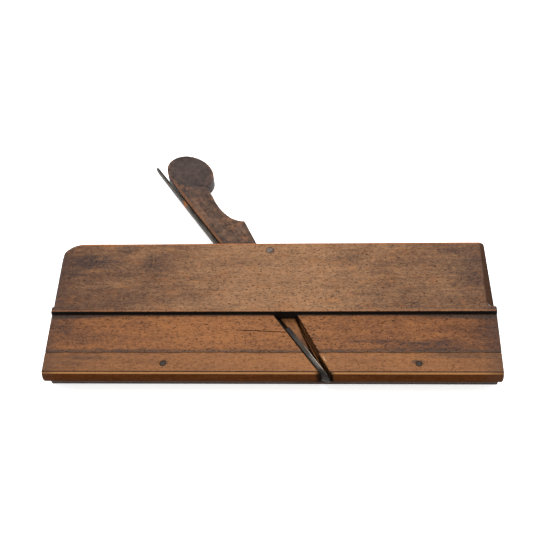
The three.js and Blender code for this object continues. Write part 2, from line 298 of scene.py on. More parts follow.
def top_at(x):
    """Height of the stock at x: level, with a round corner at each end."""
    from_heel = np.clip(HEEL_CORNER - (x + HALF_LENGTH), 0, HEEL_CORNER)
    from_toe = np.clip(TOE_CORNER - (HALF_LENGTH - x), 0, TOE_CORNER)
    return (HEIGHT - HEEL_CORNER + np.sqrt(HEEL_CORNER ** 2 - from_heel ** 2)
            - TOE_CORNER + np.sqrt(TOE_CORNER ** 2 - from_toe ** 2))


def above_stop(y):
    """0 at the chamfers' stop, 1 at the top of the stock."""
    return np.clip((y - CHAMFER_STOP) / (HEIGHT - CHAMFER_STOP), 0, 1)


def chamfer_cut(x, y):
    """How far the open side drops at the end chamfers: a straight slope in the last few millimetres
    that stops in a scoop above the step."""
    drop = np.zeros_like(x)
    for end, (along, down) in ((1, TOE_CHAMFER), (-1, HEEL_CHAMFER)):
        into = (end * x - (HALF_LENGTH - along)) / along
        stop = np.clip((y - CHAMFER_STOP) / 3.4, 0, 1)
        scoop = np.sqrt(1 - (1 - stop) ** 2)
        if end > 0:
            scoop = scoop * (1 - 0.8 * above_stop(y))
        uneven = 0.12 * waves(y, x * 0, 14, 5)
        drop = np.maximum(drop, (into + uneven * (into > -0.2)) * down * scoop)
    return np.clip(drop, 0, None)


# x, y, half length, half width and depth of the knocks in the open side
DENTS = np.array([
    (-80.8, 46.0, 0.9, 0.8, 0.30), (-54.2, 45.6, 2.2, 0.5, 0.18), (-19.2, 39.8, 2.6, 0.6, 0.25),
    (-4.9, 55.7, 0.8, 0.7, 0.35), (61.9, 57.3, 1.2, 1.0, 0.45), (70.2, 45.0, 2.0, 0.8, 0.35),
    (76.7, 40.5, 1.2, 0.7, 0.35), (42.7, 65.8, 0.9, 0.8, 0.35), (78.9, 60.5, 1.0, 0.7, 0.3),
    (-68.2, 48.9, 0.8, 0.7, 0.2), (24.5, 71.1, 1.2, 0.5, 0.25), (98.8, 52.1, 2.0, 1.6, 0.3),
    (48.4, 63.0, 1.4, 1.3, 0.3), (107.5, 57.6, 1.5, 0.9, 0.3), (-68.5, 69.5, 1.6, 0.8, 0.25),
    (-110.0, 18.4, 1.5, 0.8, 0.2), (28.5, 8.2, 1.2, 2.2, 0.5), (116.2, 22.0, 1.6, 1.2, 0.3)])


def worn_face(x, y):
    """How far the open side has worn down: broad shallow waves, the listed knocks as smooth round
    pits, and a fall over the last millimetres towards the arrises."""
    down = 0.05 + 0.045 * waves(x * 0.4, y, 22, 11) + 0.02 * waves(x, y * 1.4, 5, 12)
    for cx, cy, half_x, half_y, depth in DENTS:
        down = down + depth * np.exp(-((x - cx) / half_x) ** 2 - ((y - cy) / half_y) ** 2)
    return np.clip(down, 0, None)


def make_stock():
    """The stock without its strip: one section of straight runs, rounded arrises and the hollow,
    carried along x. Towards the ends the section is pressed down under the corner rounds and the
    chamfers, and drawn in over the last fraction of a millimetre so that the end arrises are
    round."""
    ring = rounded([(HEIGHT, 0, 0.7), (HEIGHT, THICKNESS, 0.9), (STEP_HEIGHT, THICKNESS, 0.4),
                    (STEP_HEIGHT, SIDE_Z, 0.35), (STRIP_HEIGHT + JOINT_GAP, SIDE_Z, 0.22),
                    (STRIP_HEIGHT + JOINT_GAP, SIDE_Z - STRIP_DEPTH - JOINT_GAP, 0),
                    (0.05, SIDE_Z - STRIP_DEPTH - JOINT_GAP, 0)] + hollow_points()[1:], 0.68)
    xs = stations(-HALF_LENGTH, HALF_LENGTH, 0.22, 1.25)
    x = np.repeat(xs[:, None], len(ring), 1)
    from_end = HALF_LENGTH - np.abs(x)
    y, z = drawn_in(ring, from_end, END_ROUND)
    # the top of the step's wall is rounded off further
    nib = np.clip(NIB_REACH - from_end, 0, NIB_REACH) / NIB_REACH
    nib = (1 - np.sqrt(1 - nib ** 2)) * np.clip((CHAMFER_STOP + 3 - y) / 3, 0, 1)
    z = z - NIB_DROP * nib * np.clip((z - SIDE_Z + 0.5) / 3, 0, 1)
    bent = BEND_FROM + (y - BEND_FROM) * (top_at(x) - BEND_FROM) / (HEIGHT - BEND_FROM)
    y = np.where(y > BEND_FROM, bent, y)
    face = np.clip((z - FACE_FROM) / (THICKNESS - FACE_FROM), 0, 1)
    z = z - face * (chamfer_cut(x, y) * (y > STEP_HEIGHT) + worn_face(x, y))
    side_wear = 0.06 + 0.05 * waves(x * 0.5, z, 16, 31)
    y = np.where(y > 80, y - np.clip(side_wear, 0, None), y)
    step = np.abs(y - STEP_HEIGHT) < 0.5
    y = np.where(step, y + 0.05 * waves(x, z * 0, 7, 33), y)
    bevel = np.clip((x - HALF_LENGTH + TOE_CHAMFER[0]) / TOE_CHAMFER[0], 0, 1)
    x = x - TOE_WEAR * bevel * above_stop(y)
    return tube("worn_stock", bordered(np.stack([x, y, z], 2)), 35, True)


def side_prism(name, outline, z_levels, grow=None):
    """A closed cutting shape: an outline in (x, y) carried up through levels of z. At each level
    every point may be moved along x, by grow(level, outline)."""
    rows = []
    for level in z_levels:
        shift = grow(level, outline) if grow is not None else 0
        rows.append(np.stack([outline[:, 0] + shift, outline[:, 1], outline[:, 1] * 0 + level], 1))
    return tube(name, np.array(rows))


def walls_outline(wall, y0, y1, spacing):
    """The outline between the bed line and a front wall, from y0 up to y1."""
    return rounded([(bed_x(y0), y0, 0), (wall(y0), y0, 0), (wall(y1), y1, 0), (bed_x(y1), y1, 0)],
                   spacing)


# height, reach and half width of the splintered notches in the open side's front arris
SPLINTERS = ((28.1, 1.6, 0.14), (26.6, 0.8, 0.2), (25.8, 2.4, 0.16), (22.3, 0.7, 0.25),
             (20.4, 1.4, 0.28), (19.2, 2.2, 0.14), (16.4, 0.6, 0.2), (13.4, 0.7, 0.3))


def open_rim(level, outline):
    """How far the escapement's walls stand back at a level: nothing deep down; near the open side
    the arrises round over, and the front one breaks out in narrow splinters."""
    x, y = outline[:, 0], outline[:, 1]
    front = x > (bed_x(y) + open_front_x(y)) / 2
    rise = np.clip((level - SIDE_Z + 0.9) / 0.9, 0, 1)
    splinter = sum(reach * np.exp(-((y - at) / half) ** 2) for at, reach, half in SPLINTERS)
    front_shift = 0.28 * rise ** 3 + rise ** 1.5 * (splinter + 0.12 * waves(y, y * 0, 2.2, 41))
    bed_shift = -0.22 * rise ** 3 - 0.1 * rise ** 2 * np.abs(waves(y, y * 0, 5, 42))
    below_step = np.clip((STEP_HEIGHT - 0.6 - y) / 1.5, 0, 1)
    return np.where(front, front_shift, bed_shift) * below_step


def turned(name, x, y, profile, around=40, uneven=0.0, seed=1):
    """A closed round piece: a profile of (radius, z) turned about an upright line at (x, y), with
    the radius made a little uneven round the turn."""
    angle = np.linspace(0, 2 * np.pi, around, endpoint=False)
    profile = np.array(profile, float)
    rough = 1 + uneven * waves(3 * np.cos(angle), 3 * np.sin(angle), 4, seed)
    radius = profile[:, :1] * rough[None, :]
    rows = np.stack([x + radius * np.cos(angle), y + radius * np.sin(angle),
                     np.repeat(profile[:, 1:], around, 1)], 2)
    return tube(name, rows)


def opening_cutters():
    """The mortise, the open side's cut, the shaving space and the slot for the blade."""
    above, below = HEIGHT + 12, -12.0
    mortise = side_prism("cut_mortise", walls_outline(front_x, below, above, 4.0),
                         (MORTISE_LOW, MORTISE_MIDDLE, MORTISE_HIGH))
    levels = np.concatenate([[MORTISE_MIDDLE, 16, 19], np.linspace(20.1, SIDE_Z, 7),
                             [SIDE_Z + 0.4, 30]])
    escape = side_prism("cut_open_side", walls_outline(open_front_x, below, STEP_HEIGHT, 0.11),
                        levels, open_rim)
    space = side_prism("cut_shaving_space", walls_outline(front_x, below, SHAVING_SPACE, 3.0),
                       (BLIND_WALL, 8.0, MORTISE_MIDDLE + 0.2))
    corners = [off_bed(s, d) + (0,) for s, d in
               ((-20, 0), (-20, WEDGE_BACK), (SLOT_TOP, WEDGE_BACK), (SLOT_TOP, 0))]
    slot = side_prism("cut_blade_slot", rounded(corners, 3.0),
                      (BLIND_WALL, 7.0, MORTISE_MIDDLE + 0.2))
    return [mortise, escape, space, slot]


def plug_place():
    """(x, y) of the plug, just ahead of the mortise near the top of the stock."""
    y = HEIGHT - PLUG_BELOW_TOP
    return front_x(y) + PLUG_AHEAD, y


# ---- strips, nails and plug -------------------------------------------------------------------

def make_strip(end):
    """One length of the sole strip: the lower corner's section, carried from the end of the stock
    to the slanting wall of the mouth."""
    corners = ([(STRIP_HEIGHT, SIDE_Z, 0.22), (QUIRK_HEIGHT, SIDE_Z, 0.1),
                (QUIRK_HEIGHT, SIDE_Z - QUIRK_DEPTH, 0), nose(FLAT_START) + (0.25,),
                nose(FLAT_END) + (0.25,)]
               + [nose(a) + (0,) for a in np.linspace(FLAT_END + 6, NOSE_END - 1, 20)]
               + [(0.05, SIDE_Z - STRIP_DEPTH, 0), (STRIP_HEIGHT, SIDE_Z - STRIP_DEPTH, 0.15)])
    ring = rounded(corners, 0.4)
    share = stations(0, 100, 0.16, 0.8, 8) / 100
    wall = (open_front_x if end > 0 else bed_x)(ring[None, :, 0])
    far = end * HALF_LENGTH
    x = wall + (far - wall) * share[:, None]
    near_far = drawn_in(ring, np.abs(x - far), END_ROUND)
    near_wall = drawn_in(ring, np.abs(x - wall), 0.35)
    y, z = (near_far[i] + near_wall[i] - ring[None, :, i] for i in (0, 1))
    top = np.clip((z - 18.5) / 2.5, 0, 1)
    z = z - top * worn_face(x, y) * 0.8
    y = y + np.clip(0.06 + 0.06 * waves(x, z * 0, 11, 51), 0, None) * (y < 3)
    name = "toe" if end > 0 else "heel"
    return tube("worn_strip_" + name, bordered(np.stack([x, y, z], 2)), 35, True)


SUNK = 0.12                    # how far the nail heads and the plug lie under the wood's surface


def nail_profile():
    """A flat round nail head, its rim rounded and sunk a little under the wood's surface."""
    top = SIDE_Z - SUNK
    return [(0.05, 7.0), (0.4, 8.0), (0.75, 11.0), (0.75, top - 0.75), (NAIL_HEAD - 0.1, top - 0.7),
            (NAIL_HEAD, top - 0.35), (NAIL_HEAD - 0.12, top - 0.08), (NAIL_HEAD * 0.75, top),
            (NAIL_HEAD * 0.4, top - 0.05), (0.1, top - 0.08)]


def nail_hole(name, x, y):
    """The hole that a nail sits in, wider round the head, with a broken rim."""
    profile = [(0.1, 6.2), (0.95, 6.6), (0.95, SIDE_Z - 1.1), (NAIL_HEAD + 0.08, SIDE_Z - 1.05),
               (NAIL_HEAD + 0.12, SIDE_Z - 0.3), (NAIL_HEAD + 0.35, SIDE_Z),
               (NAIL_HEAD + 0.5, SIDE_Z + 2)]
    return turned(name, x, y, profile, 48, 0.06, 61)


# ---- iron -------------------------------------------------------------------------------------

def sole_height(z):
    """y of the sole under a height z: the nose down to its level point, then the hollow."""
    y, zs = nose(NOSE_END)
    middle = (y - HOLLOW_RADIUS / 2 ** 0.5, zs - HOLLOW_RADIUS / 2 ** 0.5)
    rise = z - SIDE_Z + NOSE_SETBACK
    on_nose = NOSE_SETBACK - np.sqrt(np.clip(NOSE_RADIUS ** 2 - rise ** 2, 0, None))
    on_hollow = middle[0] + np.sqrt(np.clip(HOLLOW_RADIUS ** 2 - (z - middle[1]) ** 2, 0, None))
    return np.where(z > zs, on_nose, on_hollow)


ROUND_TIP = 7                  # length over which the tang's tip is filed round
BEVEL_LIFT = 0.15              # how far the cutting edge is kept inside the sole's line


def bevel_foot(d, z, front):
    """How far up the bed the bevel starts on each line, found in a few closing steps: on the
    sole's curve at the front, and clear of it further back."""
    target = sole_height(z) - BEVEL_LIFT
    foot = target / np.sin(BED_PITCH)
    for _ in range(4):
        x, y = off_bed(foot, d)
        clear = (bed_x(0, front) - x) * np.tan(EDGE_CLEARANCE)
        foot = foot - (y - (target + clear)) / np.sin(BED_PITCH)
    return foot


def make_iron():
    """The iron: rounded oblong sections carried up the bed. The first one follows the sole's
    curve, leaning back by the bevel; the shoulders draw the width in to the tang, which thins
    from the back and is filed round at its tip."""
    s = np.concatenate([np.linspace(0, 1, 40) * 30, np.linspace(30.4, 44, 40),
                        np.linspace(45, IRON_LENGTH - ROUND_TIP, 90),
                        IRON_LENGTH - ROUND_TIP * np.cos(np.linspace(0.06, 0.5, 22) * np.pi)])
    low, high = BLIND_WALL + GAP, SIDE_Z - GAP
    narrow = np.clip((s - BLADE_LENGTH) / (SHOULDER_END - BLADE_LENGTH), 0, 1)
    narrow = np.sqrt(1 - (1 - narrow) ** 2)
    run = np.clip((s - SHOULDER_END) / (IRON_LENGTH - SHOULDER_END), 0, 1)
    half = (TANG_ROOT + (TANG_TIP - TANG_ROOT) * run) / 2
    z0 = low + (MORTISE_MIDDLE - half - low) * narrow
    z1 = high + (MORTISE_MIDDLE + half - high) * narrow
    front = GAP + BLADE_THICKNESS
    thin = np.clip((s - SHOULDER_END) / 36, 0, 1)
    back = GAP + (front - TANG_THICKNESS - GAP) * thin
    into_tip = np.clip(s - (IRON_LENGTH - ROUND_TIP), 0, ROUND_TIP) / ROUND_TIP
    tip = np.sqrt(np.clip(1 - into_tip ** 4, 0.003, 1))
    narrower = np.where(into_tip > 0, tip ** 0.8, 1)
    back = front - (front - back) * (0.8 + 0.2 * tip)
    z0 = MORTISE_MIDDLE - (MORTISE_MIDDLE - z0) * narrower
    z1 = MORTISE_MIDDLE + (z1 - MORTISE_MIDDLE) * narrower
    unit = rounded([(0, 0, 0), (1, 0, 0), (1, 1, 0), (0, 1, 0)], 0.08)
    width, depth = (z1 - z0)[:, None], (front - back)[:, None]
    a, b = unit[None, :, 0], unit[None, :, 1]
    soft = 0.22
    d = back[:, None] + a * depth
    z = z0[:, None] + b * width
    # arrises are eased by drawing each corner in along both ways
    ease_d = np.clip(soft - np.minimum(z - z0[:, None], z1[:, None] - z), 0, soft)
    ease_z = np.clip(soft - np.minimum(d - back[:, None], front - d), 0, soft)
    d = d + np.where(a < 0.5, 1, -1) * ease_d * 0.5 * (np.abs(a - 0.5) > 0.49)
    z = z + np.where(b < 0.5, 1, -1) * ease_z * 0.5 * (np.abs(b - 0.5) > 0.49)
    d = np.minimum(d + 0.04 * waves(s[:, None], z, 13, 71) * (a < 0.5), front)
    along = np.repeat(s[:, None], len(unit), 1)
    along = along + bevel_foot(d[:1], z[:1], front) * np.clip(1 - along / 30, 0, 1)
    x, y = off_bed(along, d)
    rows = np.stack([x, y, z], 2)
    # smaller rings that carry the bevel's face in to its middle
    share = np.array([0.03, 0.25, 0.5, 0.75, 0.93])[:, None]
    middle_z, middle_d = (low + high) / 2, (back[0] + front) / 2
    inner_z = middle_z + (z[:1] - middle_z) * share
    inner_d = middle_d + (d[:1] - middle_d) * share
    x, y = off_bed(bevel_foot(inner_d, inner_z, front), inner_d)
    return tube("worn_iron", np.concatenate([np.stack([x, y, inner_z], 2), rows]), 30)


# ---- wedge ------------------------------------------------------------------------------------

def head_outline():
    """Centre of the oval head in bed measure, its angle, and where its back comes nearest."""
    reach = np.hypot(HEAD_HALF[0] * np.sin(HEAD_LEAN), HEAD_HALF[1] * np.cos(HEAD_LEAN))
    nearest = np.arctan2(HEAD_HALF[1] * np.cos(HEAD_LEAN), HEAD_HALF[0] * np.sin(HEAD_LEAN))
    return (HEAD_ALONG, WEDGE_BACK + HEAD_STANDS_OFF + reach), nearest


def on_head(t):
    """(along, ahead) on the oval head, by its own angle from the far end of its long axis."""
    (s, d), _ = head_outline()
    p, q = HEAD_HALF[0] * np.cos(t), HEAD_HALF[1] * np.sin(t)
    return (s + p * np.cos(HEAD_LEAN) - q * np.sin(HEAD_LEAN),
            d - p * np.sin(HEAD_LEAN) - q * np.cos(HEAD_LEAN))


def to_bed(x, y):
    """(along, ahead) in bed measure of a point (x, y)."""
    dx = x - BED_FOOT
    return (-dx * np.cos(BED_PITCH) + y * np.sin(BED_PITCH),
            dx * np.sin(BED_PITCH) + y * np.cos(BED_PITCH))


def wedge_boundaries():
    """The wedge's front and back as curves (along, ahead): the front runs up the front wall, over
    the shoulder, down the scooped neck and round the head; the back runs up beside the iron and
    over to the head."""
    _, nearest = head_outline()
    ys = np.linspace(5, SHOULDER_HEIGHT, 60)
    wall = np.array(to_bed(front_x(ys, GAP), ys)).T
    corner = np.array([front_x(SHOULDER_HEIGHT, GAP), SHOULDER_HEIGHT])
    control = corner - (NECK_SCOOP, 0)
    neck = np.array(off_bed(NECK[0], WEDGE_BACK + NECK[1]))
    t = np.linspace(0, 1, 60)[:, None]
    scoop = (1 - t) ** 2 * corner + 2 * t * (1 - t) * control + t ** 2 * neck
    scoop = np.array(to_bed(scoop[:, 0], scoop[:, 1])).T
    peak = -np.arctan(HEAD_HALF[1] / HEAD_HALF[0] * np.tan(HEAD_LEAN))
    around = np.array(on_head(np.linspace(HEAD_MEETS_NECK, 2 * np.pi + peak, 240))).T
    back = np.array(on_head(np.linspace(peak, nearest, 120))).T[::-1]
    start = np.array([[5 / np.sin(BED_PITCH) - 4, WEDGE_BACK], [HEAD_ALONG - 14, WEDGE_BACK]])
    return np.concatenate([wall, scoop[1:], around]), np.concatenate([start, back])


WEDGE_START = 6.0              # place up the bed where the wedge's tip begins
TIP_LEAN = 9                   # how much higher the tip's open face begins than its blind face


def make_wedge():
    """The wedge: for each place up the bed a ring that crosses the open face from back to front,
    goes down the front, returns across the blind face and comes up the back. Near the outline
    both faces fall away by a circle's arc of the distance to it, which rounds every arris."""
    front, back = wedge_boundaries()
    top = front[:, 0].max()
    low = WEDGE_START
    s = np.concatenate([np.linspace(low, 104, 150), np.linspace(104.4, 112, 26),
                        np.linspace(112.8, 142, 44), np.linspace(142.3, 150, 36),
                        np.linspace(150.5, top - 5, 34),
                        top - 5 * np.cos(np.linspace(0.03, 0.497, 34) * np.pi)])
    order = np.argsort(front[:, 0], kind="stable")
    d1 = np.interp(s, front[order, 0], front[order, 1])
    d0 = np.interp(s, back[:, 0], back[:, 1])
    v = (1 - np.cos(np.linspace(0, np.pi, 44))) / 2
    d = d0[:, None] + (d1 - d0)[:, None] * v[None, :]
    outline = np.concatenate([front, back[::-1]])
    length = np.concatenate([[0], np.cumsum(np.linalg.norm(np.diff(outline, axis=0), axis=1))])
    even = np.linspace(0, length[-1], 1400)
    dense = np.stack([np.interp(even, length, outline[:, i]) for i in (0, 1)], 1)
    dense = dense[dense[:, 0] > low + 0.2]
    place = np.stack([np.repeat(s[:, None], len(v), 1), d], 2).reshape(-1, 2)
    gap = np.concatenate([np.sqrt(((part[:, None] - dense[None]) ** 2).sum(2).min(1))
                          for part in np.array_split(place, 40)]).reshape(d.shape)
    radius = 0.6 + 0.4 * np.clip((s - 96) / 14, 0, 1)[:, None] + 0.2 * waves(d, s[:, None], 9, 81)
    fall = radius - np.sqrt(np.clip(radius ** 2 - np.clip(radius - gap, 0, radius) ** 2, 0, None))
    worn = 0.06 + 0.06 * waves(d, s[:, None] * 0.5, 11, 82)
    z_open = WEDGE_HIGH - fall - np.clip(worn, 0, None)
    z_blind = WEDGE_LOW + fall
    # the tip is cut back towards the open side
    share = np.clip(1 - (s - low) / 40, 0, 1)[:, None]

    def placed(dd, z):
        lean = TIP_LEAN * (z - WEDGE_LOW) / (WEDGE_HIGH - WEDGE_LOW) / np.sin(BED_PITCH)
        along = s[:, None] + lean * share
        limit = np.interp(along, front[order, 0], front[order, 1]) + (s[:, None] > 90) * 99
        ahead = np.minimum(dd, limit)
        x, y = off_bed(along, ahead)
        return np.stack([x, y, z], 2)

    rise = np.linspace(0, 1, 10)[1:-1][None, :]
    front_wall = z_open[:, -1:] + (z_blind[:, -1:] - z_open[:, -1:]) * rise
    back_wall = z_blind[:, :1] + (z_open[:, :1] - z_blind[:, :1]) * rise
    rows = np.concatenate([placed(d, z_open), placed(np.repeat(d[:, -1:], 8, 1), front_wall),
                           placed(d[:, ::-1], z_blind[:, ::-1]),
                           placed(np.repeat(d[:, :1], 8, 1), back_wall)], 1)
    return tube("worn_wedge", rows, 50)


# ---- materials --------------------------------------------------------------------------------

EXPOSURE = 0.6


def paint(r, g, b, lift=1.0):
    """A colour given as everyday 0-255 values, as linear light, scaled by the exposure."""
    c = np.array([r, g, b]) / 255
    linear = np.where(c <= 0.04045, c / 12.92, ((c + 0.055) / 1.055) ** 2.4) * (EXPOSURE * lift)
    return (float(linear[0]), float(linear[1]), float(linear[2]), 1.0)


class Value:
    """A number that flows through a material; doing sums with it adds nodes."""

    def __init__(self, finish, socket):
        self.finish, self.socket = finish, socket

    def __add__(self, other):
        return self.finish.math("ADD", self, other)

    def __sub__(self, other):
        return self.finish.math("SUBTRACT", self, other)

    def __rsub__(self, other):
        return self.finish.math("SUBTRACT", other, self)

    def __mul__(self, other):
        return self.finish.math("MULTIPLY", self, other)

    __radd__, __rmul__ = __add__, __mul__


class Finish:
    """A material under construction, with its own measure of place in millimetres."""

    def __init__(self, name):
        self.material = bpy.data.materials.new(name)
        self.material.use_nodes = True
        self.tree = self.material.node_tree
        self.shader = self.tree.nodes["Principled BSDF"]
        place = self.tree.nodes.new("ShaderNodeTexCoord").outputs["Object"]
        scaled = self.vector("MULTIPLY", place, (1000, 1000, 1000))
        moved = self.vector("SUBTRACT", scaled, (0, Y_SHIFT, 0))
        split = self.tree.nodes.new("ShaderNodeSeparateXYZ")
        self.tree.links.new(moved, split.inputs[0])
        self.x, self.y, self.z = (Value(self, split.outputs[i]) for i in range(3))

    def put(self, socket, value):
        if isinstance(value, Value):
            self.tree.links.new(value.socket, socket)
        elif isinstance(value, bpy.types.NodeSocket):
            self.tree.links.new(value, socket)
        else:
            socket.default_value = value

    def vector(self, operation, a, b):
        node = self.tree.nodes.new("ShaderNodeVectorMath")
        node.operation = operation
        self.put(node.inputs[0], a)
        self.put(node.inputs[1], b)
        return node.outputs[0]

    def math(self, operation, a, b=0.0):
        node = self.tree.nodes.new("ShaderNodeMath")
        node.operation = operation
        self.put(node.inputs[0], a)
        self.put(node.inputs[1], b)
        return Value(self, node.outputs[0])

    def size(self, value):
        return self.math("ABSOLUTE", value)

    def most(self, *values):
        total = values[0]
        for other in values[1:]:
            total = self.math("MAXIMUM", total, other)
        return total

    def band(self, value, start, end):
        """Goes smoothly from 0 at start to 1 at end."""
        node = self.tree.nodes.new("ShaderNodeMapRange")
        node.interpolation_type = "SMOOTHSTEP"
        flip = end < start
        numbers = (min(start, end), max(start, end), float(flip), float(not flip))
        for socket, number in enumerate(numbers, 1):
            node.inputs[socket].default_value = number
        self.put(node.inputs[0], value)
        return Value(self, node.outputs[0])

    def line(self, value, at, half, soft):
        """1 within half of a place, fading to 0 over soft."""
        return self.band(self.size(value - at), half + soft, half)

    def point(self, x, y, z):
        node = self.tree.nodes.new("ShaderNodeCombineXYZ")
        for socket, value in zip(node.inputs, (x, y, z)):
            self.put(socket, value)
        return node.outputs[0]

    def on_bed(self):
        """(along, ahead) in bed measure."""
        cosine, sine = float(np.cos(BED_PITCH)), float(np.sin(BED_PITCH))
        return ((self.x - BED_FOOT) * -cosine + self.y * sine,
                (self.x - BED_FOOT) * sine + self.y * cosine)

    def noise(self, sx, sy, sz, detail=3.0, rough=0.55, warp=0.0, move=(0, 0, 0)):
        """Cloudy noise with its own scale along each axis, in cycles a millimetre."""
        at = self.point((self.x + move[0]) * sx, (self.y + move[1]) * sy, (self.z + move[2]) * sz)
        return self.noise_at(at, detail, rough, warp)

    def noise_at(self, at, detail, rough=0.5, warp=0.0):
        node = self.tree.nodes.new("ShaderNodeTexNoise")
        self.put(node.inputs["Vector"], at)
        node.inputs["Scale"].default_value = 1.0
        node.inputs["Detail"].default_value = detail
        node.inputs["Roughness"].default_value = rough
        node.inputs["Distortion"].default_value = warp
        return Value(self, node.outputs["Fac"])

    def spots(self, cx, cy, rx, ry, soft, ragged):
        """1 inside an oval on the open side with a ragged rim, fading outward."""
        dx, dy = (self.x - cx) * (1 / rx), (self.y - cy) * (1 / ry)
        far = self.math("SQRT", dx * dx + dy * dy)
        return self.band(far + ragged, 1.0 + soft, 1.0 - soft)

    def marks(self, ragged, table):
        """The strongest of the listed spots, each with its own strength."""
        return self.most(*[self.spots(*row[:5], ragged) * row[5] for row in table])

    def mix(self, a, b, share):
        node = self.tree.nodes.new("ShaderNodeMix")
        node.data_type = "RGBA"
        self.put(node.inputs[0], share)
        self.put(node.inputs[6], a)
        self.put(node.inputs[7], b)
        return node.outputs[2]

    def coat(self, colour, share):
        """Lays a colour over what is there, as far as share says."""
        self.colour = self.mix(self.colour, colour, share)

    def finish(self, rough, height, strength, distance=0.0003, metal=0.0, shine=0.14):
        self.put(self.shader.inputs["Base Color"], self.colour)
        self.put(self.shader.inputs["Roughness"], rough)
        self.put(self.shader.inputs["Metallic"], metal)
        self.put(self.shader.inputs["Specular IOR Level"], shine)
        bump = self.tree.nodes.new("ShaderNodeBump")
        bump.inputs["Strength"].default_value = strength
        bump.inputs["Distance"].default_value = distance
        self.put(bump.inputs["Height"], height)
        self.tree.links.new(bump.outputs[0], self.shader.inputs["Normal"])
        return self.material


def grain(m):
    """Shared parts of stock and strips: soft streaks, fine fibre, short dark flecks and pits."""
    streak = (m.noise(0.03, 0.42, 0.42, 5, 0.62, 0.6) * 0.45
              + m.noise(0.34, 0.62, 0.62, 5, 0.72, 0.3, (17, 3, 8)) * 0.55)
    fibre = m.noise(0.3, 2.6, 2.6, 4, 0.65)
    fleck = m.band(m.noise(0.55, 1.7, 1.7, 3, 0.6, 0.4, (40, 7, 3)), 0.55, 0.67)
    pit = m.band(m.noise(0.75, 1.1, 1.1, 3, 0.6, 0.5, (11, 31, 5)), 0.61, 0.69)
    return streak, fibre, fleck, pit


# x, y, half length, half width, softness and strength of the stains on the stock
STOCK_STAINS = (
    (-101, 68.5, 13, 4.5, 0.55, 1), (-66, 68, 8, 5.5, 0.6, 0.8), (-81, 76.5, 6, 2.2, 0.6, 0.8),
    (-111, 61, 6, 2.4, 0.6, 0.7), (104, 68, 13, 11, 0.7, 0.55), (107, 58, 10, 6, 0.6, 0.6),
    (41, 70, 7, 5, 0.7, 0.5), (-112, 28, 6, 9, 0.6, 0.75), (-100, 20.5, 16, 4.5, 0.7, 0.5),
    (115, 24, 7, 10, 0.6, 0.6), (86, 17.4, 22, 2.0, 0.7, 1), (54, 18.6, 16, 1.4, 0.7, 0.8),
    (84, 14.6, 24, 1.6, 0.7, 0.8))
# x, y, reach and lean of the splinters' dark lines beside the mouth
SPLINTER_LINES = (
    (20.2, 28.0, 1.6, -0.22), (21.6, 26.4, 1.0, 0.35), (22.6, 25.2, 1.2, 0.1),
    (24.2, 20.3, 1.6, 0.15), (25.4, 19.2, 1.2, -0.2), (23.4, 22.6, 0.8, -0.3))


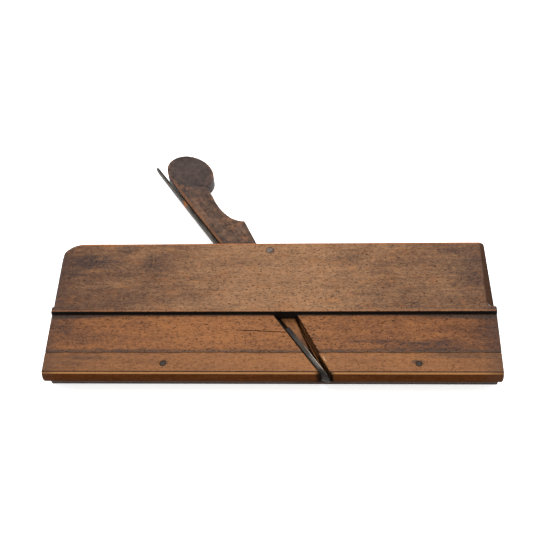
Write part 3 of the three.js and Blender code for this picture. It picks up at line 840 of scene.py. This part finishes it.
def stock_finish():
    """Old beech: brown and rubbed above the step, redder below it, black in the step as painted
    shade.
    """
    m = Finish("old_beech")
    x, y, z = m.x, m.y, m.z
    streak, fibre, fleck, pit = grain(m)
    broad = m.noise(0.022, 0.035, 0.05, 3, 0.55)
    cloud = m.noise(0.07, 0.1, 0.1, 5, 0.6, 0.4)
    ragged = (m.noise(0.11, 0.16, 0.2, 5, 0.65) - 0.5) * 1.5
    above = m.band(y, STEP_HEIGHT - 0.6, STEP_HEIGHT - 0.1)
    # the upper face is painted lighter towards its middle and its top, a painted sheen
    upper = m.mix(paint(90, 59, 40), paint(177, 130, 90),
                  m.band((streak - 0.5) * 1.1 + (cloud - 0.5) * 0.4 + (broad - 0.5) * 0.5 + 0.66
                         - m.size(x - 16) * 0.0029 + (y - 60) * 0.001, 0.14, 0.86))
    lower = m.mix(paint(98, 56, 28), paint(169, 109, 61),
                  m.band((streak - 0.5) * 1.2 + (cloud - 0.5) * 0.4 + 0.66
                         - m.size(x + 25) * 0.0019, 0.14, 0.86))
    m.colour = m.mix(lower, upper, above)
    m.coat(paint(80, 50, 36), m.band(fibre, 0.45, 0.75) * 0.6)
    m.coat(paint(62, 42, 34), m.most(fleck * 0.55, pit * 0.6))
    warm = m.band(m.noise(0.09, 0.2, 0.2, 4, 0.65, 0.6, (21, 5, 2)), 0.5, 0.68)
    m.coat(paint(170, 108, 56), warm * 0.3)
    curl = (m.line(m.noise(0.4, 0.55, 0.55, 2, 0.5, 1.5, (9, 4, 2)), 0.5, 0.008, 0.022)
            * m.band(m.noise(0.3, 0.4, 0.4, 2, 0.5, 0, (3, 8, 6)), 0.48, 0.6)
            * m.band(x, -40, 40) * above)
    m.coat(paint(58, 40, 34), curl * 0.6)
    speck = m.band(m.noise(0.7, 1.1, 1.1, 4, 0.7, 0, (2, 6, 4)), 0.42, 0.6)
    # grey and blue-black stains
    stain = m.marks(ragged, STOCK_STAINS)
    m.coat(paint(50, 42, 44), stain * (0.36 + speck * 0.5 + (streak - 0.5) * -1.0))
    # dirt that gathers along the strip's joint; below the step a band that is partly dirt and
    # partly painted shadow cast by the step
    crumb = m.noise(0.12, 1.4, 1.4, 5, 0.7, 0, (5, 2, 9))
    joint = ((speck * 0.35 + 0.65) * m.band(m.size(y - 12.6) - (crumb - 0.5) * 6.0, 1.9, 0.4)
             * m.band(y, 11, 12) * (1.0 - above))
    foot = m.band(x, -78, -112) * 1.7 + m.band(x, 70, 112) * 2.0
    corner = (m.band(y + (crumb - 0.5) * 1.4 + foot, STEP_HEIGHT - 1.5, STEP_HEIGHT - 0.5)
              * (1.0 - above))
    on_side = m.band(z, SIDE_Z - 1.0, SIDE_Z - 0.4)
    joint, corner = joint * on_side, corner * on_side
    # the step's wall, painted near-black below as painted shade
    wall = m.line(y, STEP_HEIGHT, 0.25, 0.3) * m.band(z, THICKNESS - 0.05, THICKNESS - 0.3)
    ends = m.band(m.size(x) + (cloud - 0.5) * 9, 112, 121)
    m.coat(paint(70, 52, 46), ends * 0.6)
    m.coat(paint(66, 56, 50), m.most(joint * 0.8, corner * 0.8))
    # rubbed arrises, lighter from wear and painted lighter still as a highlight where they catch
    # the light
    step_arris = (m.line(y, STEP_HEIGHT + 0.6, 0.2, 0.4)
                  * m.band(z, THICKNESS - 0.7, THICKNESS - 0.2))
    top_arris = m.band(y, HEIGHT - 1.7, HEIGHT - 0.9) * m.band(z, THICKNESS - 2.2, THICKNESS - 0.6)
    arris = m.most(step_arris * 0.4, top_arris)
    m.coat(paint(178, 112, 66), arris * m.band(streak, 0.3, 0.5) * 0.85)
    # knocks, scratches and the crack beside the mouth
    knock = m.most(*[m.spots(cx, cy, half_x * 0.8, half_y * 0.8, 0.5, ragged * 0.3)
                     for cx, cy, half_x, half_y, _ in DENTS[:15]])
    waver = (m.noise(0.15, 0.02, 0.02, 3, 0.6) - 0.5) * 1.2
    crack = (m.line(y + (x + 20) * 0.058 + waver, 25.9, 0.1, 0.22)
             * m.band(x, -21, -12) * m.band(x, 9, 7) * (1.0 - above))
    scratch = (m.line(y - (x + 52) * 0.2 + waver, 54.9, 0.05, 0.3)
               * m.band(x, -55, -45) * m.band(x, -14, -26) * 0.5)
    m.coat(paint(52, 38, 34), m.most(knock * 0.4, pit * 0.7, scratch))
    # the crack, and the step's wall painted near-black as painted shade
    m.coat(paint(20, 13, 9), m.most(crack, wall))
    # inside the openings and on the sole: wood colour in the openings, painted shadow along the
    # open arris and painted shade under the step; the sole's hollow is painted dark as painted
    # shade
    inside = (m.band(z, SIDE_Z - 0.05, SIDE_Z - 0.4) * m.band(y, -1, 0)
              * m.band(y, STEP_HEIGHT + 45, STEP_HEIGHT)
              * m.band(x + y * 0.6, 12, 18) * m.band(x + y * 0.45, 46, 38))
    rim = m.most(m.band(z + (cloud - 0.5) * 1.2, SIDE_Z - 3.0, SIDE_Z - 1.8), m.band(y, 31.5, 33.5))
    m.coat(m.mix(paint(160, 106, 62), paint(40, 27, 19), rim), inside * 0.85)
    sole = m.band(y, 5.4, 4.6) * m.band(z, 11.9, 11.5)
    m.coat(paint(44, 33, 27), sole * 0.92)
    # the end chamfers, painted darker as painted shade where they face away from the light
    chamfer = (m.most(m.band(x, 114.9, 115.4) * m.band(z, 13.5, 15.5),
                      m.band(x, -118.4, -118.8) * m.band(z, 18.4, 19.4))
               * m.band(y, CHAMFER_STOP + 1, CHAMFER_STOP + 2.5))
    m.coat(paint(74, 54, 44), chamfer * 0.8)
    splinter = m.most(*[m.line(y - (x - at) * lean, level, 0.08, 0.2) * m.line(x, at, reach, 0.8)
                        for at, level, reach, lean in SPLINTER_LINES]) * (1.0 - above)
    m.coat(paint(40, 27, 20), splinter * 0.8)
    blind = m.band(z, 1.2, 0.3)
    m.coat(paint(96, 66, 48), blind * 0.5)
    rough = 0.46 + (cloud - 0.5) * 0.25 + stain * 0.1 + wall * 0.3 + inside * 0.2
    height = fibre * 0.25 + streak * 0.5 - fleck * 0.35 - pit * 0.9 - crack * 2.0 - joint * 0.3
    return m.finish(rough, height, 0.9, shine=(1.0 - chamfer) * 0.14)


def strip_finish():
    """The sole strip: paler and yellower than the stock, golden where the nose is rubbed and
    painted brighter there as a highlight.
    """
    m = Finish("old_boxwood_strip")
    x, y, z = m.x, m.y, m.z
    streak, fibre, fleck, pit = grain(m)
    cloud = m.noise(0.05, 0.2, 0.2, 4, 0.6, 0.3)
    ragged = (m.noise(0.11, 0.2, 0.2, 5, 0.65) - 0.5) * 1.5
    m.colour = m.mix(paint(102, 62, 34), paint(165, 108, 61),
                     m.band((streak - 0.5) * 1.1 + (cloud - 0.5) * 0.4 + 0.68
                            - m.size(x - 20) * 0.0016, 0.1, 0.9))
    m.coat(paint(92, 60, 40), m.band(fibre, 0.48, 0.78) * 0.5)
    m.coat(paint(70, 48, 36), m.most(fleck * 0.45, pit * 0.5))
    crumb = m.noise(0.12, 1.4, 1.4, 5, 0.7, 0, (5, 2, 9))
    joint = m.band(m.size(y - 12.4) - (crumb - 0.5) * 4.0, 1.0, 0.2)
    low = m.band(y, 0.9, 0.2)
    flat_y = nose((FLAT_START + FLAT_END) / 2)[0]
    flat_z = nose((FLAT_START + FLAT_END) / 2)[1]
    down_flat = (y - flat_y) * 0.65 + (z - flat_z) * 0.76
    golden = m.band(down_flat, -0.6, -0.35) * m.band(down_flat, 0.72, 0.52) * low
    # painted shade: the nose is painted darker, and darker still below it and on the hollow under
    # it
    shade = m.band(z, SIDE_Z - 2.9, SIDE_Z - 4.0)
    under = m.band(z, 17.0, 13.0)
    shaded_nose_colour = m.mix(paint(70, 36, 15), paint(92, 51, 25), m.band(streak, 0.35, 0.65))
    m.coat(shaded_nose_colour, low * 0.95)
    m.coat(paint(52, 36, 26), m.most(under * 0.8, shade * low * 0.15))
    mouth_middle = (open_front_x(0) + BED_FOOT) / 2
    # dark round the mouth on the sole: dirt and painted shade
    mouth = m.line(x + (cloud - 0.5) * 3, mouth_middle, 3.0, 2.8) * m.band(y, 1.0, 0.4)
    # the rubbed flat of the nose, painted golden and partly a painted highlight
    m.coat(paint(186, 134, 86), golden * 0.9)
    m.coat(paint(28, 20, 16), mouth * 0.85)
    # painted shade in the quirk, along the lower edge of the nose's flat, and on the strip's end
    # wall at the mouth
    quirk_shade = m.most(m.band(down_flat, 0.6, 0.8) * m.band(y, 1.0, 0.75),
                   m.line(y, QUIRK_HEIGHT, 0.12, 0.22) * m.band(z, SIDE_Z - 0.05, SIDE_Z - 0.3))
    wall = m.line(x + y * 0.7 - (y - 6) * 0.15, 29.0, 3.8, 0.4)
    mouth_wall_shade = m.most(m.band(z, SIDE_Z - 0.3, SIDE_Z - 1.0), m.band(x, 0, -1)) * wall
    furrow = m.line(y + (x - 95) * 0.04 + (cloud - 0.5) * 0.8, 9.4, 0.04, 0.25) * m.band(x, 88, 98)
    ends = m.band(m.size(x) + (cloud - 0.5) * 12, 108, 120)
    m.coat(paint(88, 62, 46), ends * 0.55)
    stain = m.marks(ragged, ((-98, 8.5, 12, 1.6, 0.7, 0.6), (-106, 5.6, 8, 1.2, 0.6, 0.5),
                             (100, 10.5, 16, 1.4, 0.7, 0.7)))
    toe_x, toe_y = NAILS["toe"]
    rust = m.most(*[m.spots(cx + 0.5, cy + 0.6, 2.3, 1.5, 0.5, ragged * 0.9)
                    for cx, cy in NAILS.values()],
                  m.spots(toe_x - 1.2, toe_y + 0.9, 2.6, 1.2, 0.5, ragged * 0.6) * 1.3)
    m.coat(paint(58, 46, 40), m.most(joint * 0.75, furrow * 0.8, stain * 0.7, rust * 0.55))
    m.coat(paint(30, 19, 12), m.most(quirk_shade * 0.85, mouth_wall_shade * 0.7))
    chip = (m.line(x + y * 0.5, 32.7, 0.1, 0.35) * m.band(y, 6.0, 7.4) * m.band(y, 10.6, 9.2)
            * m.band(z, SIDE_Z - 1.2, SIDE_Z - 0.6))
    m.coat(paint(206, 168, 128), chip * m.band(streak, 0.4, 0.5))
    rough = 0.42 + (cloud - 0.5) * 0.2 + joint * 0.2
    height = fibre * 0.25 + streak * 0.3 - fleck * 0.3 - pit * 0.6 - joint * 0.4
    return m.finish(rough, height, 0.8, shine=(1.0 - low) * 0.14)


def wedge_finish():
    """Dark handled wood, nearly black on the head, with orange wood showing at worn arrises."""
    m = Finish("dark_handled_wood")
    y, z = m.y, m.z
    along, ahead = m.on_bed()
    streak = m.noise_at(m.point(along * 0.05, ahead * 0.6, z * 0.6), 5.0)
    fine = m.noise(0.7, 0.7, 0.7, 4, 0.65)
    cloud = m.noise(0.12, 0.12, 0.12, 5, 0.62, 0.6)
    patch = m.noise(0.3, 0.3, 0.3, 5, 0.68, 0.5, (3, 9, 2))
    head = m.band(along + (cloud - 0.5) * 26, 136, 152)
    body = m.mix(paint(52, 38, 31), paint(132, 99, 78),
                 m.band((streak - 0.5) * 0.9 + (patch - 0.5) * 1.1 + 0.46, 0.12, 0.9))
    dark = m.mix(paint(48, 39, 37), paint(84, 70, 66), m.band(patch, 0.2, 0.82))
    m.colour = m.mix(body, dark, head * 0.85)
    (hs, hd), _ = head_outline()
    p = (along - hs) * float(np.cos(HEAD_LEAN)) - (ahead - hd) * float(np.sin(HEAD_LEAN))
    q = (along - hs) * float(np.sin(HEAD_LEAN)) + (ahead - hd) * float(np.cos(HEAD_LEAN))
    p, q = p * (1 / HEAD_HALF[0]), q * (1 / HEAD_HALF[1])
    round_head = m.math("SQRT", p * p + q * q)
    face = m.band(z, WEDGE_HIGH - 1.5, WEDGE_HIGH - 0.7)
    rub = m.band(patch + (fine - 0.5) * 0.5, 0.36, 0.7)
    rim = m.band(round_head + (patch - 0.5) * 0.25, 0.88, 0.99) * face * m.band(along, 146, 152)
    back = m.band(ahead + (patch - 0.5) * 3.0, WEDGE_BACK + 1.8, WEDGE_BACK + 0.4) * face
    shoulder = (m.band(y + (patch - 0.5) * 5, SHOULDER_HEIGHT - 1.2, SHOULDER_HEIGHT)
                * m.band(along, 122, 112) * face)
    glow = m.noise(0.16, 0.16, 0.16, 5, 0.66, 0.5, (3, 9, 2))
    worn = m.most(rim * rub * 0.75, back * (rub * 0.6 + 0.35), shoulder * rub * 0.6,
                  m.band(glow, 0.46, 0.7) * rub * m.band(along, 154, 136) * 0.7)
    m.coat(paint(160, 104, 66), worn)
    neck = m.line(ahead + along * 0.9, 148.3, 0.1, 0.45) * m.band(ahead, 13, 15) * face
    near_body = m.band(y + (cloud - 0.5) * 6, 90, 84) * m.band(y, 78, 81)
    inside = m.band(y, 81, 79)
    grime = m.band(m.noise(0.5, 0.5, 0.5, 5, 0.7, 0, (8, 1, 4)), 0.56, 0.68)
    # the wedge's side walls are painted dark as painted shade, and grime and the neck line are
    # darkened with them
    wedge_side_shade = m.band(z, WEDGE_HIGH - 0.9, WEDGE_HIGH - 2.0)
    m.coat(paint(40, 32, 29),
           m.most(grime * 0.55, near_body * 0.6, neck * 0.9, wedge_side_shade * 0.55))
    deep = m.mix(paint(88, 52, 30), paint(160, 104, 58),
                 m.band((streak - 0.5) * 0.8 + (patch - 0.5) * 0.7 + 0.5, 0.25, 0.75))
    # painted shade on the part within the stock: darker lower down, near the front wall and on the
    # side walls
    painted_wedge_shade = m.most(m.band(y + (patch - 0.5) * 8, 30, 14) * 0.7,
                       m.band(ahead, 8.0, 11.0) * m.band(y, 34, 30) * 0.3,
                       m.band(z, WEDGE_HIGH - 0.5, WEDGE_HIGH - 1.4) * 0.9)
    deep = m.mix(deep, paint(52, 36, 28), painted_wedge_shade)
    m.coat(deep, inside)
    height = streak * 0.4 + fine * 0.6 - grime * 0.6 - neck
    return m.finish(0.5 + (cloud - 0.5) * 0.25, height, 0.7)


def iron_finish():
    """Forged iron, grey-brown and pitted, rusty in places, bright along the blade's open arris as a
    painted highlight, with painted shade in the mouth.
    """
    m = Finish("forged_iron")
    y, z = m.y, m.z
    along, ahead = m.on_bed()
    fine = m.noise(1.1, 1.1, 1.1, 5, 0.7)
    cloud = m.noise(0.14, 0.14, 0.3, 4, 0.6)
    m.colour = m.mix(paint(48, 42, 36), paint(92, 84, 74),
                     m.band(cloud + (fine - 0.5) * 0.6, 0.3, 0.7))
    rust = m.most(m.line(along + (fine - 0.5) * 4, 142.5, 0.6, 2.4), m.band(fine, 0.62, 0.74) * 0.3)
    m.coat(paint(176, 104, 54), rust * 0.75)
    # painted shade: the iron is darker in the mouth, and darkest at the tang's back, at the edge
    # and high in the mouth
    in_mouth = m.band(y, 36, 34)
    m.coat(paint(52, 44, 39), in_mouth * (m.band(fine, 0.3, 0.7) * 0.35 + 0.4))
    # a painted highlight along the blade's polished open arris, and a faint painted sheen on the
    # blade
    bright = (m.line(ahead, GAP + BLADE_THICKNESS - 0.08, 0.08, 0.2) * m.band(along, 21, 9)
              * m.band(z, SIDE_Z - 1.0, SIDE_Z - 0.5))
    painted_gleam = (m.line(ahead + (fine - 0.5) * 1.2, GAP + BLADE_THICKNESS - 0.9, 0.35, 0.7)
             * m.band(y, 12, 8) * m.band(y, 2.5, 4))
    m.coat(paint(236, 230, 220, 1.5), m.most(bright, painted_gleam * 0.06))
    tip = m.band(y + (cloud - 0.5) * 2, 2.6, 1.4)
    dark = m.most(m.band(ahead, GAP + 0.9, GAP + 0.4) * m.band(along, 44, 40), tip * 0.92,
                  m.band(along + (fine - 0.5) * 5, 22, 31) * in_mouth * 0.75)
    m.coat(paint(26, 21, 19), dark * 0.9)
    rough = 0.55 + (fine - 0.5) * 0.3 - bright * 0.2 + rust * 0.25
    metal = 0.12 - rust * 0.12
    height = fine * 0.5 - m.band(fine, 0.6, 0.72) * 0.8 + cloud * 0.4
    return m.finish(rough, height, 0.45, 0.0002, metal, 0.12)


def nail_finish():
    """Blackened nail heads with brown rust in their pits."""
    m = Finish("blackened_nail")
    fine = m.noise(1.8, 1.8, 1.8, 5, 0.7)
    m.colour = m.mix(paint(28, 23, 21), paint(88, 67, 52), m.band(fine, 0.42, 0.68))
    return m.finish(0.62 + (fine - 0.5) * 0.3, fine, 0.6, 0.0003, 0.35, 0.4)


def plug_finish():
    """End grain of the plug: greyer than the stock, with rings and a dark glue line."""
    m = Finish("plug_end_grain")
    px, py = plug_place()
    dx, dy = m.x - px, m.y - py
    far = m.math("SQRT", dx * dx + dy * dy)
    fine = m.noise(1.5, 1.5, 1.5, 5, 0.7)
    rings = m.math("SINE", (dx * 0.8 + dy * 2.4) * 3.0 + fine * 4.0)
    m.colour = m.mix(paint(92, 76, 68), paint(150, 134, 124),
                     m.band(rings * 0.3 + fine, 0.3, 0.85))
    edge = m.band(far + (fine - 0.5) * 1.6, PLUG_RADIUS - 0.7, PLUG_RADIUS - 0.1)
    m.coat(paint(112, 80, 60), edge * 0.8)
    m.coat(paint(78, 56, 46), m.band(dx - dy + fine * 2.0, 1.6, 2.8) * 0.8)
    return m.finish(0.5 + (fine - 0.5) * 0.2, fine, 0.5)


def floor_finish():
    """Plain matt white card with a trace of tooth."""
    m = Finish("white_card")
    tooth = m.noise(0.8, 0.8, 0.8, 2, 0.5)
    m.colour = m.mix((0.93, 0.93, 0.93, 1), (0.95, 0.95, 0.95, 1), tooth)
    m.shader.inputs["Emission Color"].default_value = (1.0, 1.0, 1.0, 1.0)
    m.shader.inputs["Emission Strength"].default_value = 0.56
    return m.finish(0.9 + (tooth - 0.5) * 0.05, tooth, 0.03, 0.0001, 0.0, 0.1)


# ---- the plane --------------------------------------------------------------------------------

def dressed(piece, node, material, body):
    """Gives a piece its material and lets it stand for a node of the frame."""
    piece.data.materials.clear()
    piece.data.materials.append(material)
    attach(piece, body)
    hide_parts(node)


plug_x, plug_y = plug_place()
stock = make_stock()
plug_hole = turned("cut_plug", plug_x, plug_y, [
    (0.1, THICKNESS - 5.4), (PLUG_RADIUS + 0.05, THICKNESS - 5.3),
    (PLUG_RADIUS + 0.06, THICKNESS - 0.5), (PLUG_RADIUS + 0.08, THICKNESS),
    (PLUG_RADIUS + 0.1, THICKNESS + 2)])
carve(stock, opening_cutters() + [plug_hole]
      + [nail_hole("cut_nail_" + k, *NAILS[k]) for k in sorted(NAILS)], 35)
dressed(stock, "stock", stock_finish(), "stock")

strip_material, nail_material = strip_finish(), nail_finish()
for end, name in ((-1, "heel"), (1, "toe")):
    strip = make_strip(end)
    carve(strip, [nail_hole("cut_nail", *NAILS[name])], 35)
    dressed(strip, "sole_strip_" + name, strip_material, "stock")
    nail_x, nail_y = NAILS[name]
    nail = turned("worn_nail_" + name, nail_x, nail_y, nail_profile(), 48, 0.05, 7 + end)
    dressed(nail, "strip_nail_" + name, nail_material, "stock")

plug_top = THICKNESS - SUNK
plug = turned("end_grain_plug", plug_x, plug_y, [
    (0.1, THICKNESS - 5), (PLUG_RADIUS - 0.1, THICKNESS - 5), (PLUG_RADIUS - 0.02, THICKNESS - 4.5),
    (PLUG_RADIUS - 0.02, plug_top - 0.25), (PLUG_RADIUS - 0.15, plug_top - 0.06),
    (PLUG_RADIUS * 0.8, plug_top), (PLUG_RADIUS * 0.4, plug_top - 0.03), (0.1, plug_top - 0.05)],
    56, 0.02, 3)
dressed(plug, "cheek_plug", plug_finish(), "stock")

dressed(make_iron(), "iron", iron_finish(), "iron")
dressed(make_wedge(), "wedge", wedge_finish(), "wedge")

# ---- floor, light and camera ------------------------------------------------------------------

FLOOR_REACH, FLOOR_CELLS = 3000, 60
reach = np.linspace(-FLOOR_REACH, FLOOR_REACH, FLOOR_CELLS + 1)
gx, gy = np.meshgrid(reach, reach, indexing="ij")
floor_mesh = bpy.data.meshes.new("floor")
floor_points = np.stack([gx, gy, np.full_like(gx, -0.02)], 2).reshape(-1, 3) / 1000
side = FLOOR_CELLS + 1
cell = (np.arange(FLOOR_CELLS)[:, None] * side + np.arange(FLOOR_CELLS)[None, :]).ravel()
floor_faces = np.stack([cell, cell + side, cell + side + 1, cell + 1], 1)
floor_mesh.from_pydata(floor_points.tolist(), [], floor_faces.tolist())
floor_mesh.materials.append(floor_finish())
floor = bpy.data.objects.new("floor", floor_mesh)
bpy.context.scene.collection.objects.link(floor)

scene = bpy.context.scene
scene.view_settings.view_transform = "Standard"
world = bpy.data.worlds.new("soft_white_room")
world.use_nodes = True
world.node_tree.nodes["Background"].inputs["Color"].default_value = (1.0, 1.0, 1.0, 1)
world.node_tree.nodes["Background"].inputs["Strength"].default_value = 0.95
scene.world = world


def soft_box(name, place, aim, width, height, power):
    """A large square lamp at a place, turned to face an aim."""
    lamp = bpy.data.lights.new(name, "AREA")
    lamp.shape = "RECTANGLE"
    lamp.size, lamp.size_y = width, height
    lamp.energy = power
    holder = bpy.data.objects.new(name, lamp)
    holder.location = place
    holder.rotation_euler = (Vector(aim) - Vector(place)).to_track_quat("-Z", "Y").to_euler()
    scene.collection.objects.link(holder)


soft_box("overhead", (0.05, 0.25, 1.5), (0, 0, 0), 1.6, 1.2, 26)

# The camera looks down at the open side from beyond the sole
camera_data = bpy.data.cameras.new("camera")
camera_data.sensor_width = 36
camera_data.lens = 63.33
camera_data.clip_start = 0.01
camera = bpy.data.objects.new("camera", camera_data)
right, up, ahead = (Vector((0.99832, 0.02890, -0.05015)), Vector((0.00438, 0.82623, 0.56333)),
                    Vector((-0.05774, 0.56261, -0.82471)))
turn = Matrix((right, up, -ahead)).transposed().to_4x4()
place = Vector((29.0036, -233.689 + Y_SHIFT, 458.075)) / 1000
camera.matrix_world = Matrix.Translation(place) @ turn
scene.collection.objects.link(camera)
scene.camera = camera
